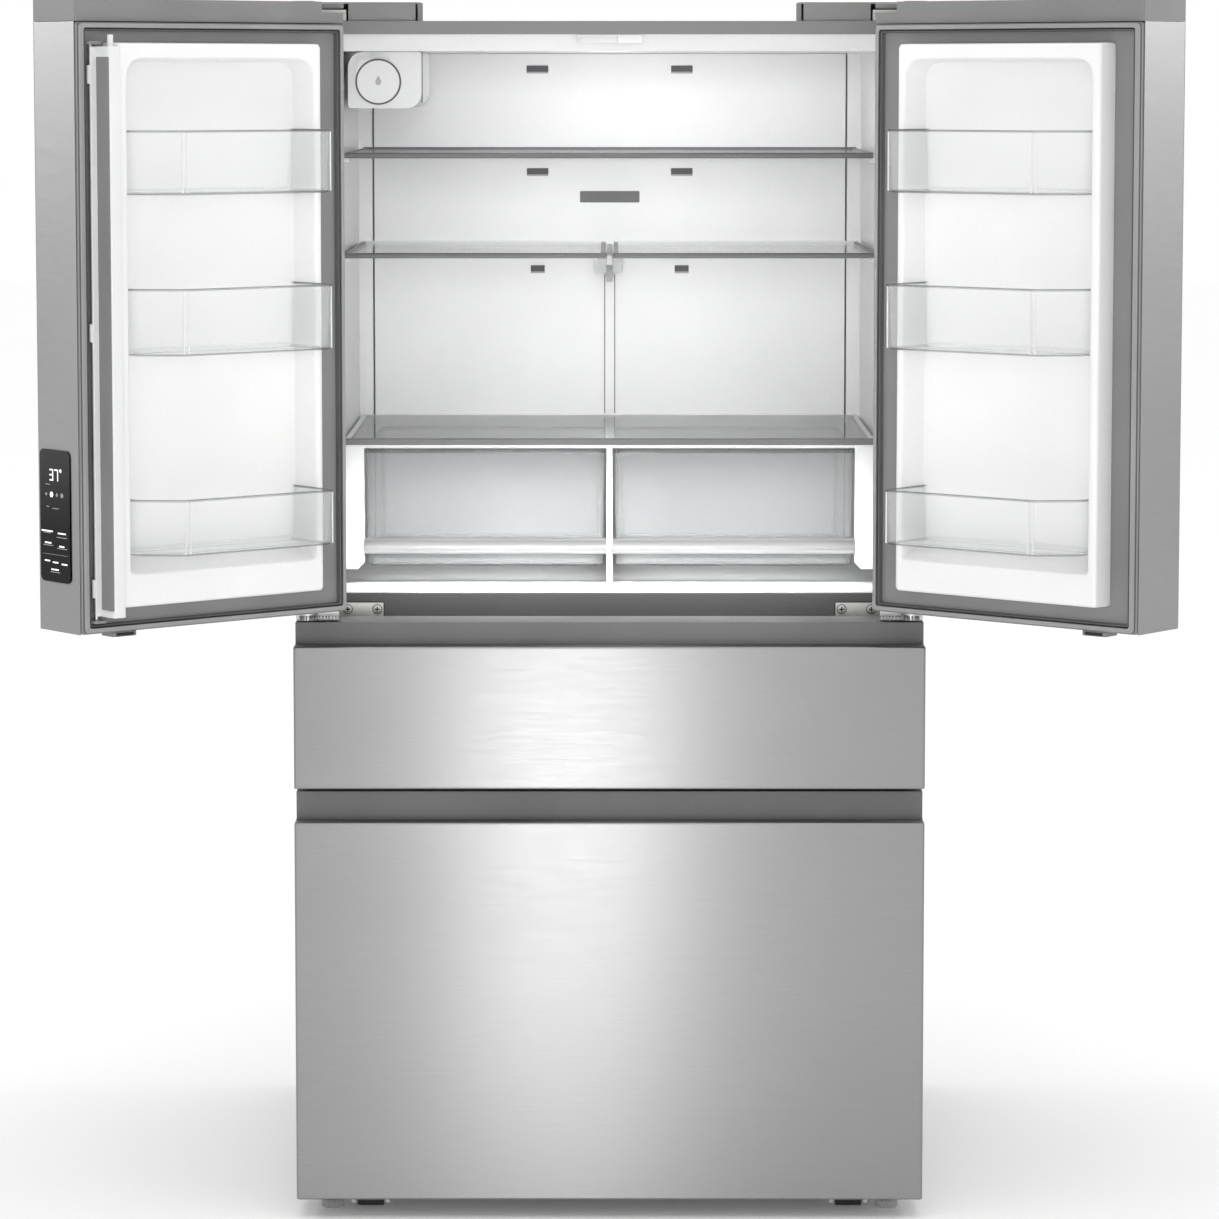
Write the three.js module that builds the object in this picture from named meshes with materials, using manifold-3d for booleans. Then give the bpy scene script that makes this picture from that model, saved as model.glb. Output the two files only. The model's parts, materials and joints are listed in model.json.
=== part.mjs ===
// French door refrigerator: two hinged doors over a deli drawer and a freezer drawer.
// Millimetres, +Z up, front towards -Y. The doors stand open, the drawers are shut.
// Depths are measured back from the drawer fronts, and the last lines move the whole
// group so that the origin lies on the floor in the middle of the space it takes.
import * as THREE from 'three';
import { mergeVertices } from 'three/addons/utils/BufferGeometryUtils.js';
import Module from 'manifold-3d';

const wasm = await Module();
wasm.setup();

// ---- driving dimensions ---------------------------------------------------------------

const fit = 0.3;                  // gap left between pieces that touch
const sheet = 1.2;                // steel skin thickness
const wall = 3;                   // moulded plastic wall thickness

const frontHalf = 454;            // half width across the drawer fronts
const cabinetHalf = 452.5;
const cabinet = { front: 123, back: 861, bottom: 40, top: 1730, skin: 2 };
const interiorHalf = 396;         // half width of the compartments
const originDepth = 274;          // distance from the drawer fronts back to the origin

const freshFood = { floor: 903, ceiling: 1687, openingTop: 1711, back: 735 };
const railTop = 899;
const lower = { bottom: 78, dividerLow: 598, dividerHigh: 652, top: 840, back: 732 };
const machineRoom = { front: 660, top: 270 };

const hinge = { x: 436, y: 37, pin: 6, bore: 6.6 };
const doorOpenAngle = 140.5;      // degrees from closed
const door = { free: 431, hingeSide: -18, front: -37, back: 74, bottom: 888.5, top: 1755, capLow: 1724 };
const dike = { hingeSide: 46, free: 386, height: 109, bottom: 925, top: 1696 };
const pocket = { x: [62, 368], z: [992, 1671], floor: 52, corner: 28 };
const mullion = { x: [389, 407], y: [78, 122], z: [915, 1690], axis: [412, 82], rod: 2.5 };

const shelfDepth = [205, 670];
const upperShelfTop = 1539;
const halfShelfTop = 1392;
const crisperCover = { top: 1118, bottom: 1105, half: 390.5, depth: [207, 690] };

// ---- materials ------------------------------------------------------------------------

const finish = (color, roughness, metalness) => () =>
  new THREE.MeshStandardMaterial({ color, roughness, metalness });

const stainless = finish(0xc3c5c7, 0.32, 1.0);
const paintedSteel = finish(0x8f9193, 0.5, 0.3);
const greyPlastic = finish(0x8d8f92, 0.55, 0.0);
const whitePlastic = finish(0xf1f3f4, 0.4, 0.0);
const clearPlastic = finish(0xdfe6ea, 0.12, 0.0);
const satinPlastic = finish(0xd2d5d8, 0.3, 0.2);
const rubber = finish(0x9b9da0, 0.75, 0.0);
const darkRubber = finish(0x2c2d2f, 0.8, 0.0);
const zincSteel = finish(0xa9adb1, 0.35, 1.0);
const blackEnamel = finish(0x17181a, 0.4, 0.2);
const blackGlass = finish(0x0b0c0e, 0.08, 0.0);
const shelfGlass = finish(0xcfe0dd, 0.06, 0.0);
const galvanised = finish(0xb6babd, 0.45, 0.9);
const foam = finish(0xe9dfb8, 0.9, 0.0);

// ---- shape helpers --------------------------------------------------------------------

// A closed three.js geometry as a solid that can be joined and cut.
function toSolid(geometry) {
  geometry.deleteAttribute('normal');
  geometry.deleteAttribute('uv');
  const merged = mergeVertices(geometry);
  const vertProperties = Float32Array.from(merged.attributes.position.array);
  const triVerts = Uint32Array.from(merged.index.array);
  return new wasm.Manifold(new wasm.Mesh({ numProp: 3, vertProperties, triVerts }));
}

function toGeometry(solid) {
  const { vertProperties, triVerts } = solid.getMesh();
  const geometry = new THREE.BufferGeometry();
  geometry.setAttribute('position', new THREE.BufferAttribute(Float32Array.from(vertProperties), 3));
  geometry.setIndex(new THREE.BufferAttribute(Uint32Array.from(triVerts), 1));
  geometry.computeVertexNormals();
  return geometry;
}

// An upright box between two limits on each axis.
function block([x0, x1], [y0, y1], [z0, z1]) {
  const geometry = new THREE.BoxGeometry(x1 - x0, y1 - y0, z1 - z0);
  return toSolid(geometry.translate((x0 + x1) / 2, (y0 + y1) / 2, (z0 + z1) / 2));
}

// A flat outline drawn out along one axis. The outline's own two axes are x,y for 'z',
// x,z for 'y' and y,z for 'x'.
function prism(outline, axis, [from, to], curveSegments = 5) {
  const options = { depth: to - from, bevelEnabled: false, curveSegments };
  const geometry = new THREE.ExtrudeGeometry(outline, options);
  if (axis === 'z') geometry.translate(0, 0, from);
  if (axis === 'y') geometry.rotateX(Math.PI / 2).translate(0, to, 0);
  if (axis === 'x') {
    const [u, v, w] = [new THREE.Vector3(0, 1, 0), new THREE.Vector3(0, 0, 1), new THREE.Vector3(1, 0, 0)];
    geometry.applyMatrix4(new THREE.Matrix4().makeBasis(u, v, w)).translate(from, 0, 0);
  }
  return toSolid(geometry);
}

function polygon(points) {
  return new THREE.Shape(points.map(([u, v]) => new THREE.Vector2(u, v)));
}

// A rectangle with a radius on each corner, in the order low-left, low-right, top-right, top-left.
function roundedRectangle([u0, u1], [v0, v1], radii) {
  const [a, b, c, d] = Array.isArray(radii) ? radii : [radii, radii, radii, radii];
  const corners = [[u0 + a, v0 + a, a, 2], [u1 - b, v0 + b, b, 3], [u1 - c, v1 - c, c, 0], [u0 + d, v1 - d, d, 1]];
  const shape = new THREE.Shape();
  corners.forEach(([u, v, radius, quarter], index) => {
    const start = quarter * Math.PI / 2;
    if (radius > 0) shape.absarc(u, v, radius, start, start + Math.PI / 2, false);
    else if (index === 0) shape.moveTo(u, v);
    else shape.lineTo(u, v);
  });
  return shape;
}

// A round bar or, as a cutter, a round hole.
function rod([u, v], radius, axis, span, sides = 16) {
  const points = Array.from({ length: sides }, (_, index) => {
    const angle = (index + 0.5) * 2 * Math.PI / sides;
    return [u + radius * Math.cos(angle), v + radius * Math.sin(angle)];
  });
  return prism(polygon(points), axis, span);
}

// A convex outline moved inwards by a distance on every side.
function inset(points, distance) {
  const count = points.length;
  return points.map((point, index) => {
    const before = points[(index + count - 1) % count];
    const after = points[(index + 1) % count];
    const along = (a, b) => new THREE.Vector2(b[0] - a[0], b[1] - a[1]).normalize();
    const [first, second] = [along(before, point), along(point, after)];
    const reach = distance / (1 + first.dot(second));
    return [point[0] - (first.y + second.y) * reach, point[1] + (first.x + second.x) * reach];
  });
}

// An open-topped tray from a plan outline that runs counter-clockwise.
function tray(points, [bottom, top], thickness) {
  const outside = prism(polygon(points), 'z', [bottom, top]);
  const inside = prism(polygon(inset(points, thickness)), 'z', [bottom + thickness, top + 1]);
  return outside.subtract(inside);
}

const rectangle = ([x0, x1], [y0, y1]) => [[x0, y0], [x1, y0], [x1, y1], [x0, y1]];
const joined = (...solids) => solids.reduce((sum, next) => sum.add(next));

function place(parent, name, solid, material) {
  const mesh = new THREE.Mesh(toGeometry(solid), material());
  mesh.name = name;
  parent.add(mesh);
  return mesh;
}

// ---- cabinet --------------------------------------------------------------------------

const freshFoodOuter = { x: [-interiorHalf - wall, interiorHalf + wall], y: [125.3, freshFood.back + wall] };
const lowerOuterProfile = [
  [125.3, lower.bottom - 6], [640, lower.bottom - 6], [640, 290], [738, 290], [738, lower.top + 6],
  [125.3, lower.top + 6],
];

function cabinetShell() {
  const { front, back, bottom, top, skin } = cabinet;
  const across = [-cabinetHalf, cabinetHalf];
  const outside = prism(roundedRectangle(across, [bottom, top], [2, 2, 5, 5]), 'y', [front, back]);
  const inner = [-cabinetHalf + skin, cabinetHalf - skin];
  const room = block(inner, [front + skin, back + 1], [bottom + skin, top - skin]);
  const opening = block([-interiorHalf, interiorHalf], [front - 1, front + 5], [60, freshFood.openingTop]);
  const lugs = [-350, 350].map((x) => block([x - 4, x + 4], [784, 816], [8, bottom + 1]));
  const axleHole = rod([800, 20], 5.6, 'x', [-360, 360]);
  return joined(outside.subtract(room).subtract(opening), ...lugs).subtract(axleHole);
}

function freshFoodLiner() {
  const { floor, ceiling, openingTop, back } = freshFood;
  const outside = block(freshFoodOuter.x, freshFoodOuter.y, [railTop + fit, openingTop + wall]);
  const cavity = polygon([
    [120, floor], [back, floor], [back, ceiling], [185, ceiling], [165, openingTop], [120, openingTop],
  ]);
  let liner = outside.subtract(prism(cavity, 'x', [-interiorHalf, interiorHalf]));
  for (const side of [-1, 1]) {
    const span = (low, high) => (side > 0 ? [low, high] : [-high, -low]);
    const column = block(span(374, interiorHalf + 1), [700, back + 1], [floor - 1, ceiling + 1]);
    const ledges = [upperShelfTop - 8, halfShelfTop - 7.5].map((under) =>
      block(span(383, interiorHalf + 1), [230, 655], [under - 7, under - fit]));
    liner = joined(liner, column, ...ledges);
  }
  return liner;
}

function lowerLiner() {
  const outside = prism(polygon(lowerOuterProfile), 'x', freshFoodOuter.x);
  const across = [-interiorHalf, interiorHalf];
  const freezer = polygon([
    [120, lower.bottom], [634, lower.bottom], [634, 296], [lower.back, 296],
    [lower.back, lower.dividerLow], [120, lower.dividerLow],
  ]);
  const deli = block(across, [120, lower.back], [lower.dividerHigh, lower.top]);
  return outside.subtract(prism(freezer, 'x', across)).subtract(deli);
}

const railSolid = (grow) => block(
  [-interiorHalf + fit - grow, interiorHalf - fit + grow], [cabinet.front, 165 + grow],
  [lower.top + 6 + fit - grow, railTop + grow],
);

function insulation() {
  const { front, back, bottom, top, skin } = cabinet;
  const side = cabinetHalf - skin - fit;
  const whole = block([-side, side], [front + skin + fit, back - fit], [bottom + skin + fit, top - skin - fit]);
  const linerRoom = block(
    [freshFoodOuter.x[0] - fit, freshFoodOuter.x[1] + fit], [120, freshFood.back + wall + fit],
    [railTop, freshFood.openingTop + wall + fit],
  );
  const lowerRoom = prism(polygon([
    [120, lower.bottom - 6 - fit], [640 + fit, lower.bottom - 6 - fit], [640 + fit, 290 - fit],
    [738 + fit, 290 - fit], [738 + fit, lower.top + 6 + fit], [120, lower.top + 6 + fit],
  ]), 'x', [freshFoodOuter.x[0] - fit, freshFoodOuter.x[1] + fit]);
  const machine = block([-side - 1, side + 1], [machineRoom.front, back + 1], [bottom, machineRoom.top]);
  return whole.subtract(linerRoom).subtract(lowerRoom).subtract(machine).subtract(railSolid(fit));
}

function backPanel() {
  const back = cabinet.back + fit;
  let panel = block([-450, 450], [back, back + 1.5], [cabinet.bottom + 2, cabinet.top - 2]);
  for (let column = 0; column < 6; column += 1) {
    for (let row = 0; row < 3; row += 1) {
      const x = -360 + column * 130;
      const z = 90 + row * 50;
      panel = panel.subtract(block([x, x + 90], [back - 5, back + 5], [z, z + 12]));
    }
  }
  return panel;
}

// The white panel over the air duct, with its vent slots and the centre shelf track.
function rearDuctPanel() {
  const { floor, ceiling, back } = freshFood;
  const [front, half] = [700, 371.5];
  const outside = block([-half, half], [front, back - fit], [floor + fit, ceiling - fit]);
  const duct = block([-half + wall, half - wall], [front + wall, back + 1], [floor + 10, ceiling - 10]);
  let panel = outside.subtract(duct);
  const slots = [[1663, 16, 4], [1502, 16, 4], [1349, 10, 3]];
  for (const [z, halfWidth, halfHeight] of slots) {
    for (const x of [-113.6, 113.6]) {
      const cut = [[x - halfWidth, x + halfWidth], [z - halfHeight, z + halfHeight]];
      panel = panel.subtract(block(cut[0], [front - 1, front + wall + 1], cut[1]));
    }
  }
  return panel.add(block([-7.5, 7.5], [front - 3, front + 1], [1125, 1340]));
}

function shelfBracket() {
  const web = prism(polygon([[225, 1374], [696.7, 1328], [696.7, 1388], [225, 1388]]), 'x', [-4.5, 4.5]);
  const pad = block([-18, 18], [240, 420], [halfShelfTop - 14, halfShelfTop - 7.5 - fit]);
  return web.add(pad);
}

// A glass shelf in its moulded rim: a plate with a deeper edge all round.
function shelf([x0, x1], top, rimDepth) {
  const [front, back] = shelfDepth;
  const whole = prism(roundedRectangle([x0, x1], [front, back], 4), 'z', [top - rimDepth, top], 2);
  const hollow = block([x0 + 12, x1 - 12], [front + 14, back - 16], [top - rimDepth - 1, top - 4]);
  return whole.subtract(hollow);
}

function crisperFrame() {
  const { top, bottom, half, depth: [front, back] } = crisperCover;
  const whole = prism(roundedRectangle([-half, half], [front, back], 4), 'z', [bottom, top], 2);
  const rebate = block([-383, 383], [front + 11, back - 6], [top - 4.5, top + 1]);
  let frame = whole.subtract(rebate);
  for (const side of [-1, 1]) {
    const span = (low, high) => (side > 0 ? [low, high] : [-high, -low]);
    frame = frame.subtract(block(span(9, 376), [front + 18, back - 13], [bottom - 1, top]));
    const blockShape = polygon([[391, 1106], [391, 925], [372, 925], [362, 935], [362, 1106]]
      .map(([x, z]) => [side * x, z]));
    const cheek = prism(blockShape, 'y', [front + 2, front + 32]);
    const runner = block(span(374, 391), [front + 31, back - 10], [1085, bottom + 1]);
    frame = joined(frame, cheek, runner);
  }
  const divider = block([-4.5, 4.5], [front + 5, back], [freshFood.floor + fit, bottom + 1]);
  return frame.add(divider);
}

function crisperCoverGlass() {
  const { top, depth: [front, back] } = crisperCover;
  return block([-382.7, 382.7], [front + 11.3, back - 6.3], [top - 4.2, top - 0.2]);
}

function mullionGuide() {
  const whole = block([-47, 47], [127, 163], [1698, freshFood.openingTop - fit]);
  const cam = block([-44, 12], [120, 157], [1690, 1707.5]);
  return whole.subtract(cam);
}

const filterAxis = [-339, 1642.5];

function filterHousing() {
  const outline = roundedRectangle([-384, -276], [1604, freshFood.ceiling - fit], [5, 22, 5, 24]);
  return prism(outline, 'y', [228, 540]).subtract(rod(filterAxis, 27, 'y', [220, 510], 24));
}

function filterCartridge() {
  const [x, z] = filterAxis;
  const corner = prism(roundedRectangle([x - 33, x], [z, z + 33], [0, 0, 0, 12]), 'y', [219, 227.7]);
  const face = rod(filterAxis, 33, 'y', [219, 227.7], 32);
  return joined(face, corner, rod(filterAxis, 25, 'y', [227, 500], 24));
}

// ---- machine compartment --------------------------------------------------------------

const compressorPlace = [230, 752];

function compressor() {
  const profile = [[0, 0], [58, 0], [70, 14], [76, 40], [76, 95], [66, 125], [40, 142], [0, 147]];
  const dome = new THREE.LatheGeometry(profile.map(([r, z]) => new THREE.Vector2(r, z)), 20);
  const [x, y] = compressorPlace;
  dome.rotateX(Math.PI / 2).translate(x, y, 58);
  const foot = block([x - 90, x + 90], [y - 50, y + 50], [cabinet.bottom + 2 + fit, 60]);
  return toSolid(dome).add(foot);
}

function condenser() {
  const floor = cabinet.bottom + 2 + fit;
  let coil = block([-380, -130], [690, 800], [floor, floor + 8]);
  for (let fin = 0; fin < 9; fin += 1) {
    const x = -376 + fin * 30;
    coil = coil.add(block([x, x + 4], [694, 796], [floor + 4, 205]));
  }
  return coil.add(block([-380, -130], [735, 755], [196, 206]));
}

const fanAxis = [745, 130];

function condenserFan() {
  const [y, z] = fanAxis;
  let fan = rod(fanAxis, 16, 'x', [-100, -76], 16);
  for (let blade = 0; blade < 5; blade += 1) {
    const turn = blade * 72 * Math.PI / 180;
    const geometry = new THREE.BoxGeometry(4, 34, 48);
    geometry.rotateZ(0.5).translate(0, 0, 36).rotateX(turn).translate(-88, y, z);
    fan = fan.add(toSolid(geometry));
  }
  return fan;
}

function rearRollerAxle() {
  const axle = rod([800, 20], 5, 'x', [-400, 400]);
  const radius = 20 / Math.cos(Math.PI / 24);
  const wheels = [[-398, -368], [368, 398]].map((x) => rod([800, 20], radius, 'x', x, 24));
  return joined(axle, ...wheels);
}

// ---- pieces that come in a left and a right copy, drawn on the left --------------------

const hingeAxis = [-hinge.x, hinge.y];

function hingeCover() {
  const [x, y] = hingeAxis;
  const top = 1757;
  const body = prism(roundedRectangle([-452, -274], [128, 250], [4, 14, 14, 8]), 'z', [1730.3, top]);
  const hollow = joined(
    block([-449.5, -277], [130.5, 247.5], [1729, top - 2.5]),
    block([-449.5, -377], [120, 135], [1729, top - 2.5]),
  );
  const nose = joined(rod([x, y], 17, 'z', [1747, top], 24), block([x - 16, x + 16], [y, 130], [1747, top]));
  return body.subtract(hollow).add(nose);
}

function upperHinge() {
  const [x, y] = hingeAxis;
  const arm = joined(
    rod([x, y], 14, 'z', [1741, 1746], 20), block([x - 13, x + 13], [y, 130], [1741, 1746]),
    block([x - 13, -380], [128, 240], [1741, 1746]), block([x - 13, -380], [130, 240], [1730.3, 1742]),
  );
  return arm.add(rod([x, y], hinge.pin, 'z', [1728.6, 1742]));
}

function lowerHinge() {
  const [x, y] = hingeAxis;
  const arm = joined(
    rod([x, y], 16, 'z', [871, 885.5], 20), block([x - 14, -390], [y - 2, 122.7], [871, 885.5]),
    block([-396, -330], [119.2, 122.7], [866, 885.5]),
  );
  return arm.add(rod([x, y], hinge.pin, 'z', [885, 906]));
}

const foot = { x: -406, y: 72, radius: 16.5 };
const roller = { x: [-369, -331], y: 72, z: 13, radius: 11.5 };

function legBracket() {
  const plate = block([-428, -320], [50, 200], [16, 22]);
  const riser = block([-428, -320], [132, 200], [20, cabinet.bottom - fit]);
  const slot = block([roller.x[0] - 2.5, roller.x[1] + 2.5], [roller.y - 15, roller.y + 15], [5, 30]);
  const cheeks = [[-378, -371.5], [-328.5, -322]].map((x) => block(x, [roller.y - 8, roller.y + 8], [7, 21]));
  const axleHole = rod([roller.y, roller.z], 3.5, 'x', [-380, -320]);
  const stemHole = rod([foot.x, foot.y], 6.6, 'z', [10, 30]);
  return joined(plate, riser).subtract(slot).add(joined(...cheeks)).subtract(axleHole).subtract(stemHole);
}

function levellingFoot() {
  const centre = [foot.x, foot.y];
  return joined(rod(centre, foot.radius, 'z', [0, 9], 24), rod(centre, 6, 'z', [8, 25]));
}

function frontRoller() {
  const centre = [roller.y, roller.z];
  const [low, high] = roller.x;
  return joined(rod(centre, roller.radius, 'x', [low, high], 20), rod(centre, 3, 'x', [low - 8, high + 8]));
}

const crisper = { x: [-361, -6], front: 207, handle: [948, 972], top: 1103 };

function crisperBin() {
  const box = tray(rectangle([-358, -13], [208, 640]), [929, 1096], 2.5);
  const face = block(crisper.x, [crisper.front, crisper.front + 3], [948, crisper.top]);
  return box.add(face);
}

function crisperHandle() {
  const outline = roundedRectangle([crisper.x[0] - 1, crisper.x[1] + 1], crisper.handle, 4);
  return prism(outline, 'y', [200, crisper.front - fit], 3);
}

// ---- doors, drawn closed about their hinge axis ----------------------------------------

function doorSkin() {
  const { free, hingeSide, front, back, bottom, capLow } = door;
  const outline = (edge, radius) =>
    roundedRectangle([hingeSide + edge, free - edge], [front + edge, back + 10], [radius, radius, 0, 0]);
  const outside = prism(outline(0, 9), 'z', [bottom, capLow], 4);
  const inside = prism(outline(sheet, 9 - sheet), 'z', [bottom - 1, capLow + 1], 4);
  const behind = block([hingeSide - 1, free + 1], [back - wall, back + 20], [bottom - 1, capLow + 1]);
  return outside.subtract(inside).subtract(behind);
}

function doorTopCap() {
  const { free, hingeSide, front, back, top, capLow } = door;
  const outline = roundedRectangle([hingeSide, free], [front, back], [9, 9, 3, 3]);
  const whole = prism(outline, 'z', [capLow + fit, top], 4);
  const hingeRecess = block([hingeSide - 1, 20], [front - 1, back + 1], [1740, top + 1]);
  return whole.subtract(hingeRecess).subtract(rod([0, 0], hinge.bore, 'z', [1728, 1745]));
}

function doorPocket(grow) {
  const { x, z, floor, corner } = pocket;
  const outline = roundedRectangle([x[0] - grow, x[1] + grow], [z[0] - grow, z[1] + grow], [4, 4, corner, corner]);
  const recess = prism(outline, 'y', [floor - grow, dike.height + 5], 4);
  const slope = polygon([[floor - grow, z[0] - grow], [dike.height + 5, z[0] - 40 - grow], [dike.height + 5, z[0] + 40]]);
  return recess.add(prism(slope, 'x', [x[0] - grow, x[1] + grow]));
}

function doorLiner(side) {
  const { free, hingeSide, front, back, bottom, capLow } = door;
  const [low, high] = [bottom + fit, capLow - fit];
  const across = [hingeSide + sheet + fit, free - sheet - fit];
  const pan = block(across, [10, back], [low, high]);
  const rim = block([hingeSide, free], [back - wall + fit, back], [bottom, high]);
  const floorOutline = roundedRectangle(across, [front + sheet + fit, back], [8, 8, 0, 0]);
  const floorPlate = prism(floorOutline, 'z', [low, low + wall], 4);
  const ridge = prism(
    roundedRectangle([dike.hingeSide, dike.free], [dike.bottom, dike.top], 10), 'y', [back - 1, dike.height], 3,
  );
  const inner = [across[0] + wall, across[1] - wall];
  const hollow = joined(
    block(inner, [-60, back - wall], [low + wall, high - wall]),
    block([dike.hingeSide + wall, dike.free - wall], [60, dike.height - wall], [dike.bottom + wall, dike.top - wall]),
  );
  const body = joined(pan, rim, floorPlate, ridge).subtract(doorPocket(0)).subtract(hollow.subtract(doorPocket(wall)));
  const boss = rod([0, 0], 12, 'z', [low + 1, low + 26]);
  let liner = body.add(boss).subtract(rod([0, 0], hinge.bore, 'z', [bottom - 5, low + 20]));
  if (side === 'left') {
    const [u, v] = mullion.axis;
    for (const z of [[905, 911], [1693, 1697]]) {
      liner = liner.add(block([404.5, 416], [back - 1, 88], z));
      liner = liner.subtract(rod([u, v], mullion.rod + fit, 'z', [z[0] - 1, z[1] + 1]));
    }
  }
  return liner;
}

function doorGasket() {
  const outside = roundedRectangle([-10, 430], [892, 1722], 6);
  const inside = roundedRectangle([8, 419], [904, 1704], 3);
  const span = [door.back + fit, 84.8];
  return prism(outside, 'y', span, 3).subtract(prism(inside, 'y', [span[0] - 1, span[1] + 1], 3));
}

const doorBinOutline = [[63, 54], [367, 54], [367, 112], [316, 160], [63, 160]];
const doorBinHeights = { upper: [1489, 1577], middle: [1270, 1362], lower: [996, 1074] };

function controlPanel() {
  const outline = roundedRectangle([-25, 50], [957, 1140], 9);
  return prism(outline, 'x', [door.free + fit, door.free + 1.8], 5);
}

function mullionBar() {
  const [low, high] = mullion.z;
  const [u, v] = mullion.axis;
  let bar = prism(roundedRectangle(mullion.x, mullion.y, 3), 'z', [low, high], 3);
  for (const z of [[940, 965], [1290, 1315], [1640, 1665]]) {
    const knuckle = joined(rod([u, v], 5.5, 'z', z), block([403, u], [78.5, 86.5], z));
    bar = bar.add(knuckle);
  }
  bar = bar.subtract(rod([u, v], mullion.rod + 0.4, 'z', [low - 5, high + 5]));
  return bar.add(rod([398, 110], 4, 'z', [high - 2, 1706]));
}

function buildDoor(side) {
  const swing = new THREE.Group();
  swing.position.set(-hinge.x, hinge.y, 0);
  swing.rotation.z = THREE.MathUtils.degToRad(-doorOpenAngle);
  place(swing, `${side}_door_skin`, doorSkin(), stainless);
  place(swing, `${side}_door_top_cap`, doorTopCap(), greyPlastic);
  place(swing, `${side}_door_liner`, doorLiner(side), whitePlastic);
  place(swing, `${side}_door_gasket`, doorGasket(), rubber);
  for (const [level, heights] of Object.entries(doorBinHeights)) {
    place(swing, `${side}_door_bin_${level}`, tray(doorBinOutline, heights, wall), clearPlastic);
  }
  if (side === 'left') {
    place(swing, 'control_panel', controlPanel(), blackGlass);
    place(swing, 'mullion_bar', mullionBar(), whitePlastic);
    place(swing, 'mullion_pivot_rod', rod(mullion.axis, mullion.rod, 'z', [904, 1697.5], 12), zincSteel);
  }
  return swing;
}

// ---- drawers --------------------------------------------------------------------------

const deliFront = { bottom: 629, top: 836, capTop: 868 };
const freezerFront = { bottom: 27, top: 581, capTop: 622 };
const pullDepth = 30;             // how far the finger groove goes down behind the skin

function drawerSkin({ bottom, top }) {
  const outline = (edge) => roundedRectangle(
    [-frontHalf + edge, frontHalf - edge], [bottom + edge, top - edge], [7 - edge, 7 - edge, 3 - edge, 3 - edge],
  );
  const outside = prism(outline(0), 'y', [0, 100], 4);
  const inside = prism(outline(sheet), 'y', [sheet, 101], 4);
  const inner = frontHalf - sheet;
  const groove = block([-inner, inner], [sheet, 101], [top - pullDepth - 1, top + 1]);
  return outside.subtract(inside).subtract(groove);
}

// The moulded body behind a drawer's skin, with the finger groove and the cap above it.
function drawerBody({ bottom, top, capTop }) {
  const half = frontHalf - sheet - 0.4;
  const [low, groove] = [bottom + sheet + fit, top - pullDepth];
  const section = (edge, nose) => polygon([
    [nose, low + edge], [111 - edge, low + edge], [111 - edge, top - 2 - edge], [103 - edge, top - 2 - edge],
    [103 - edge, capTop - edge], [28 + edge, capTop - edge], [28 + edge, groove - edge], [nose, groove - edge],
  ]);
  const corner = 6;
  const cheeks = prism(roundedRectangle([-half, half], [low, capTop], [corner, corner, 1, 1]), 'y', [0, 112], 4);
  const outside = prism(section(0, sheet + fit), 'x', [-half, half]).intersect(cheeks);
  return outside.subtract(prism(section(wall, -5), 'x', [-half + wall, half - wall]));
}

function deliBin() {
  const box = tray(rectangle([-380, 380], [111.3, 640]), [664, 822], wall);
  const runners = [-1, 1].map((side) =>
    block(side > 0 ? [379, 391] : [-391, -379], [112, 640], [730, 744]));
  return joined(box, ...runners);
}

function freezerBin() {
  const box = tray(rectangle([-372, 372], [111.3, 600]), [98, 380], wall);
  const runners = [-1, 1].map((side) =>
    block(side > 0 ? [371, 391] : [-391, -371], [112, 600], [180, 198]));
  return joined(box, ...runners);
}

function freezerBasket() {
  return tray(rectangle([-386, 386], [116, 540]), [412.6, 560], wall);
}

function freezerBody() {
  const arms = [-1, 1].map((side) =>
    block(side > 0 ? [368, 391] : [-391, -368], [109, 620], [402, 412.2]));
  return joined(drawerBody(freezerFront), ...arms);
}

// ---- assembly -------------------------------------------------------------------------

const refrigerator = new THREE.Group();
refrigerator.name = 'refrigerator';
refrigerator.position.y = -originDepth;

place(refrigerator, 'cabinet_shell', cabinetShell(), paintedSteel);
place(refrigerator, 'back_panel', backPanel(), galvanised);
place(refrigerator, 'insulation_foam', insulation(), foam);
place(refrigerator, 'fresh_food_liner', freshFoodLiner(), whitePlastic);
place(refrigerator, 'lower_liner', lowerLiner(), whitePlastic);
place(refrigerator, 'centre_rail', railSolid(0), paintedSteel);
place(refrigerator, 'rear_duct_panel', rearDuctPanel(), whitePlastic);
place(refrigerator, 'shelf_bracket', shelfBracket(), zincSteel);
place(refrigerator, 'upper_shelf', shelf([-386.5, 386.5], upperShelfTop, 8), shelfGlass);
place(refrigerator, 'crisper_frame', crisperFrame(), whitePlastic);
place(refrigerator, 'crisper_cover_glass', crisperCoverGlass(), shelfGlass);
place(refrigerator, 'mullion_guide', mullionGuide(), whitePlastic);
place(refrigerator, 'filter_housing', filterHousing(), whitePlastic);
place(refrigerator, 'filter_cartridge', filterCartridge(), whitePlastic);
place(refrigerator, 'compressor', compressor(), blackEnamel);
place(refrigerator, 'condenser', condenser(), blackEnamel);
place(refrigerator, 'condenser_fan', condenserFan(), greyPlastic);
place(refrigerator, 'rear_roller_axle', rearRollerAxle(), darkRubber);

place(refrigerator, 'deli_drawer_skin', drawerSkin(deliFront), stainless);
place(refrigerator, 'deli_drawer_body', drawerBody(deliFront), greyPlastic);
place(refrigerator, 'deli_bin', deliBin(), clearPlastic);
place(refrigerator, 'freezer_drawer_skin', drawerSkin(freezerFront), stainless);
place(refrigerator, 'freezer_drawer_body', freezerBody(), greyPlastic);
place(refrigerator, 'freezer_bin', freezerBin(), whitePlastic);
place(refrigerator, 'freezer_basket', freezerBasket(), whitePlastic);

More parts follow.
